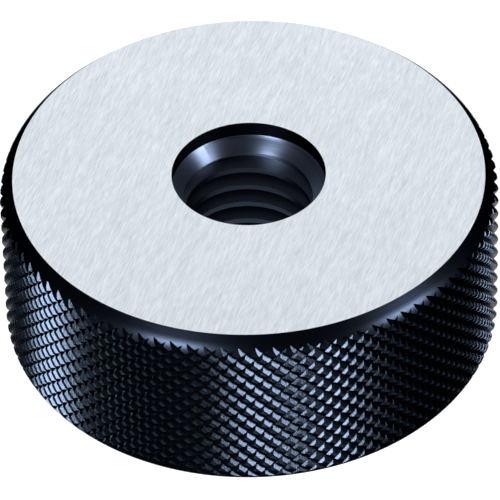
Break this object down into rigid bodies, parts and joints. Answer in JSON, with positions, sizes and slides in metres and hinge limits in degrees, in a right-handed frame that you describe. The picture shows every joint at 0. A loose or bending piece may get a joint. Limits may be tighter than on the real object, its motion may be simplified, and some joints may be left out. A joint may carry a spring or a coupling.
{
  "type": "thread ring gauge",
  "caption": "Solid thread ring gauge: a thick steel ring with a diamond-knurled rim, ground flat faces and a right-hand internal thread for checking external screws",
  "frame": {"origin": "centre of the lower ground face, on the axis of the bore", "axes": "+Z is the axis of the ring and of its thread, from the lower ground face to the upper one; +X and +Y lie in the lower face"},
  "size_m": [0.0328, 0.0328, 0.0127],
  "materials": {
    "hardened_steel": "black oxide on knurl, chamfers and bore; both faces ground bright"
  },
  "bodies": {
    "root": {"gauge_ring": "hardened_steel"}
  },
  "joints": []
}
